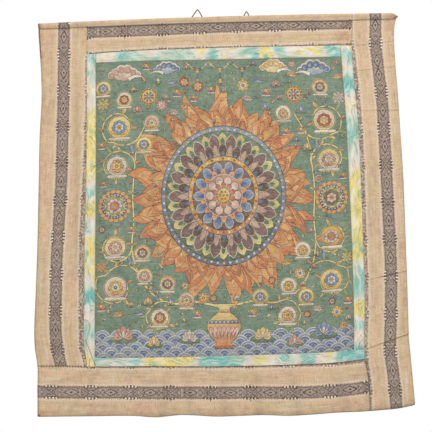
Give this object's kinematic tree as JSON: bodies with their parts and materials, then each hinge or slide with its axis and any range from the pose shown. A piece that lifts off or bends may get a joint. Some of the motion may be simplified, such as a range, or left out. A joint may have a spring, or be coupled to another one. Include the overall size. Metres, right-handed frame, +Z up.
{
  "type": "thangka scroll painting with hanging rod",
  "caption": "Hanging scroll: painted canvas framed by printed silk strips and a mount of figured handwoven cloth, sewn round a slim wooden rod with string loops behind it.",
  "frame": {"origin": "midway between the two hanging loops, at the mean height of the points where hooks carry them, in the plane of the loops' string", "axes": "+Z up along the hanging cloth, +Y back towards the wall, so that the picture faces -Y, +X to the viewer's right along the rod"},
  "size_m": [0.8984, 0.0212, 0.9864],
  "materials": {
    "handwoven_cloth": "coarse tan handwoven cloth with dark figured bands",
    "printed_silk": "thin silk printed in flowing mint, cyan, yellow and cream",
    "painted_canvas": "cotton canvas painted in matt mineral colours on a green ground, rubbed and creased",
    "rod_wood": "plain rubbed wood",
    "loop_string": "twisted grey-tan string"
  },
  "bodies": {
    "root": {"rod": "rod_wood", "left_panel": "handwoven_cloth", "top_panel": "handwoven_cloth", "right_panel": "handwoven_cloth", "bottom_panel": "handwoven_cloth", "border_left": "printed_silk", "border_top": "printed_silk", "border_right": "printed_silk", "border_bottom": "printed_silk", "painting": "painted_canvas", "loop_left": "loop_string", "loop_right": "loop_string"}
  },
  "joints": []
}
